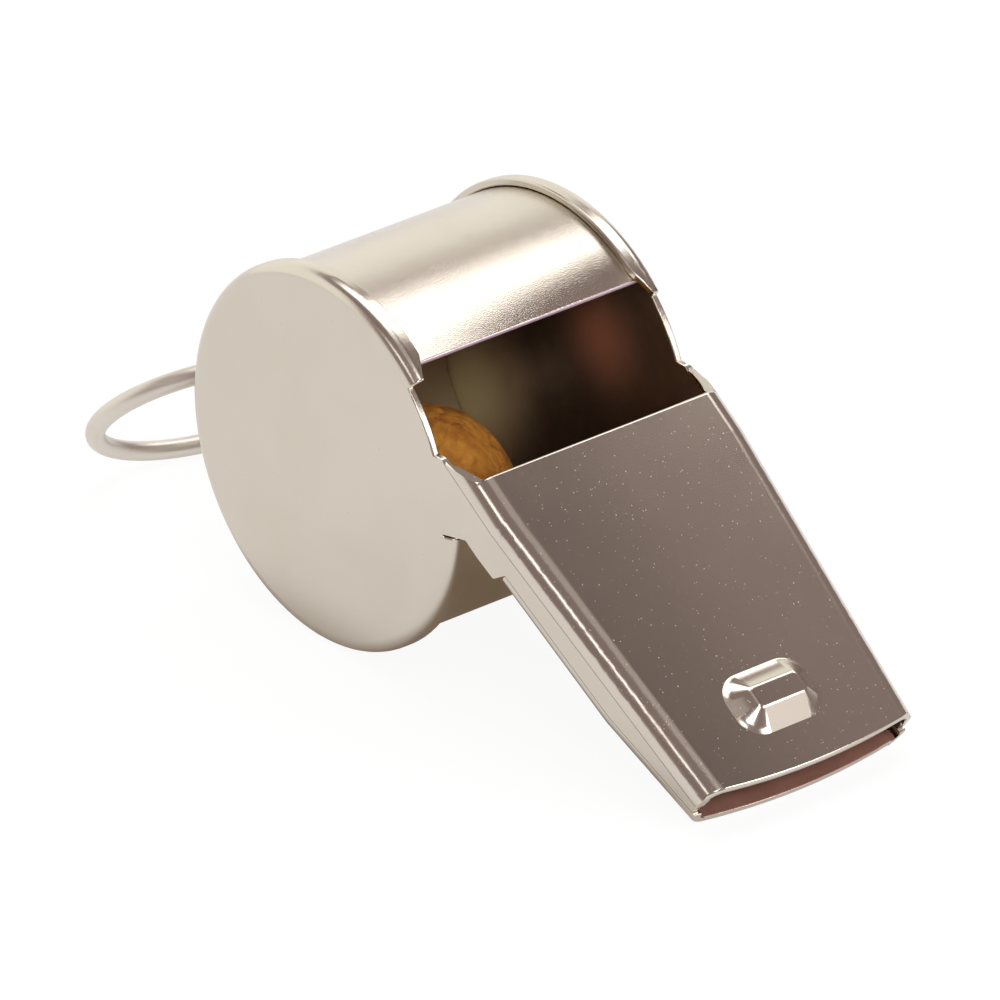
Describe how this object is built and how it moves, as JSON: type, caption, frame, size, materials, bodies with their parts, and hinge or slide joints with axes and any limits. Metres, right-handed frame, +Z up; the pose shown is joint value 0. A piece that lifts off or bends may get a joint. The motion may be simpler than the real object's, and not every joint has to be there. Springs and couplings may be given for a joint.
{
  "type": "sports whistle",
  "caption": "Stamped metal pea whistle with a round barrel, tapered flat mouthpiece, window, cork pea and a lanyard ring swinging in a lug at the back",
  "frame": {"origin": "On the table, under the middle of the box round the whistle and its ring", "axes": "+X towards the mouth, +Y along the barrel's axis, +Z up; the whistle lies on its rims and its tip"},
  "size_m": [0.0534, 0.0177, 0.022],
  "materials": {
    "nickel_plate": "bright nickel plate",
    "ring_wire": "bright nickel plate",
    "cork": "bare granular cork"
  },
  "bodies": {
    "shell": {"left_cheek": "nickel_plate", "right_cheek": "nickel_plate", "barrel_strip": "nickel_plate", "mouthpiece_top": "nickel_plate", "mouthpiece_floor": "nickel_plate", "ring_lug": "nickel_plate"},
    "ring": {"lanyard_ring": "ring_wire"},
    "pea": {"cork_pea": "cork"}
  },
  "joints": [
    {"name": "ring_swing", "type": "hinge", "parent": "shell", "child": "ring", "pos_m": [-0.01686, 0, 0.00891], "axis": [0, 1, 0], "range_deg": [-60, 105]},
    {"name": "pea_orbit", "type": "hinge", "parent": "shell", "child": "pea", "pos_m": [-0.00403, 0, 0.011], "axis": [0, 1, 0], "continuous": true}
  ]
}
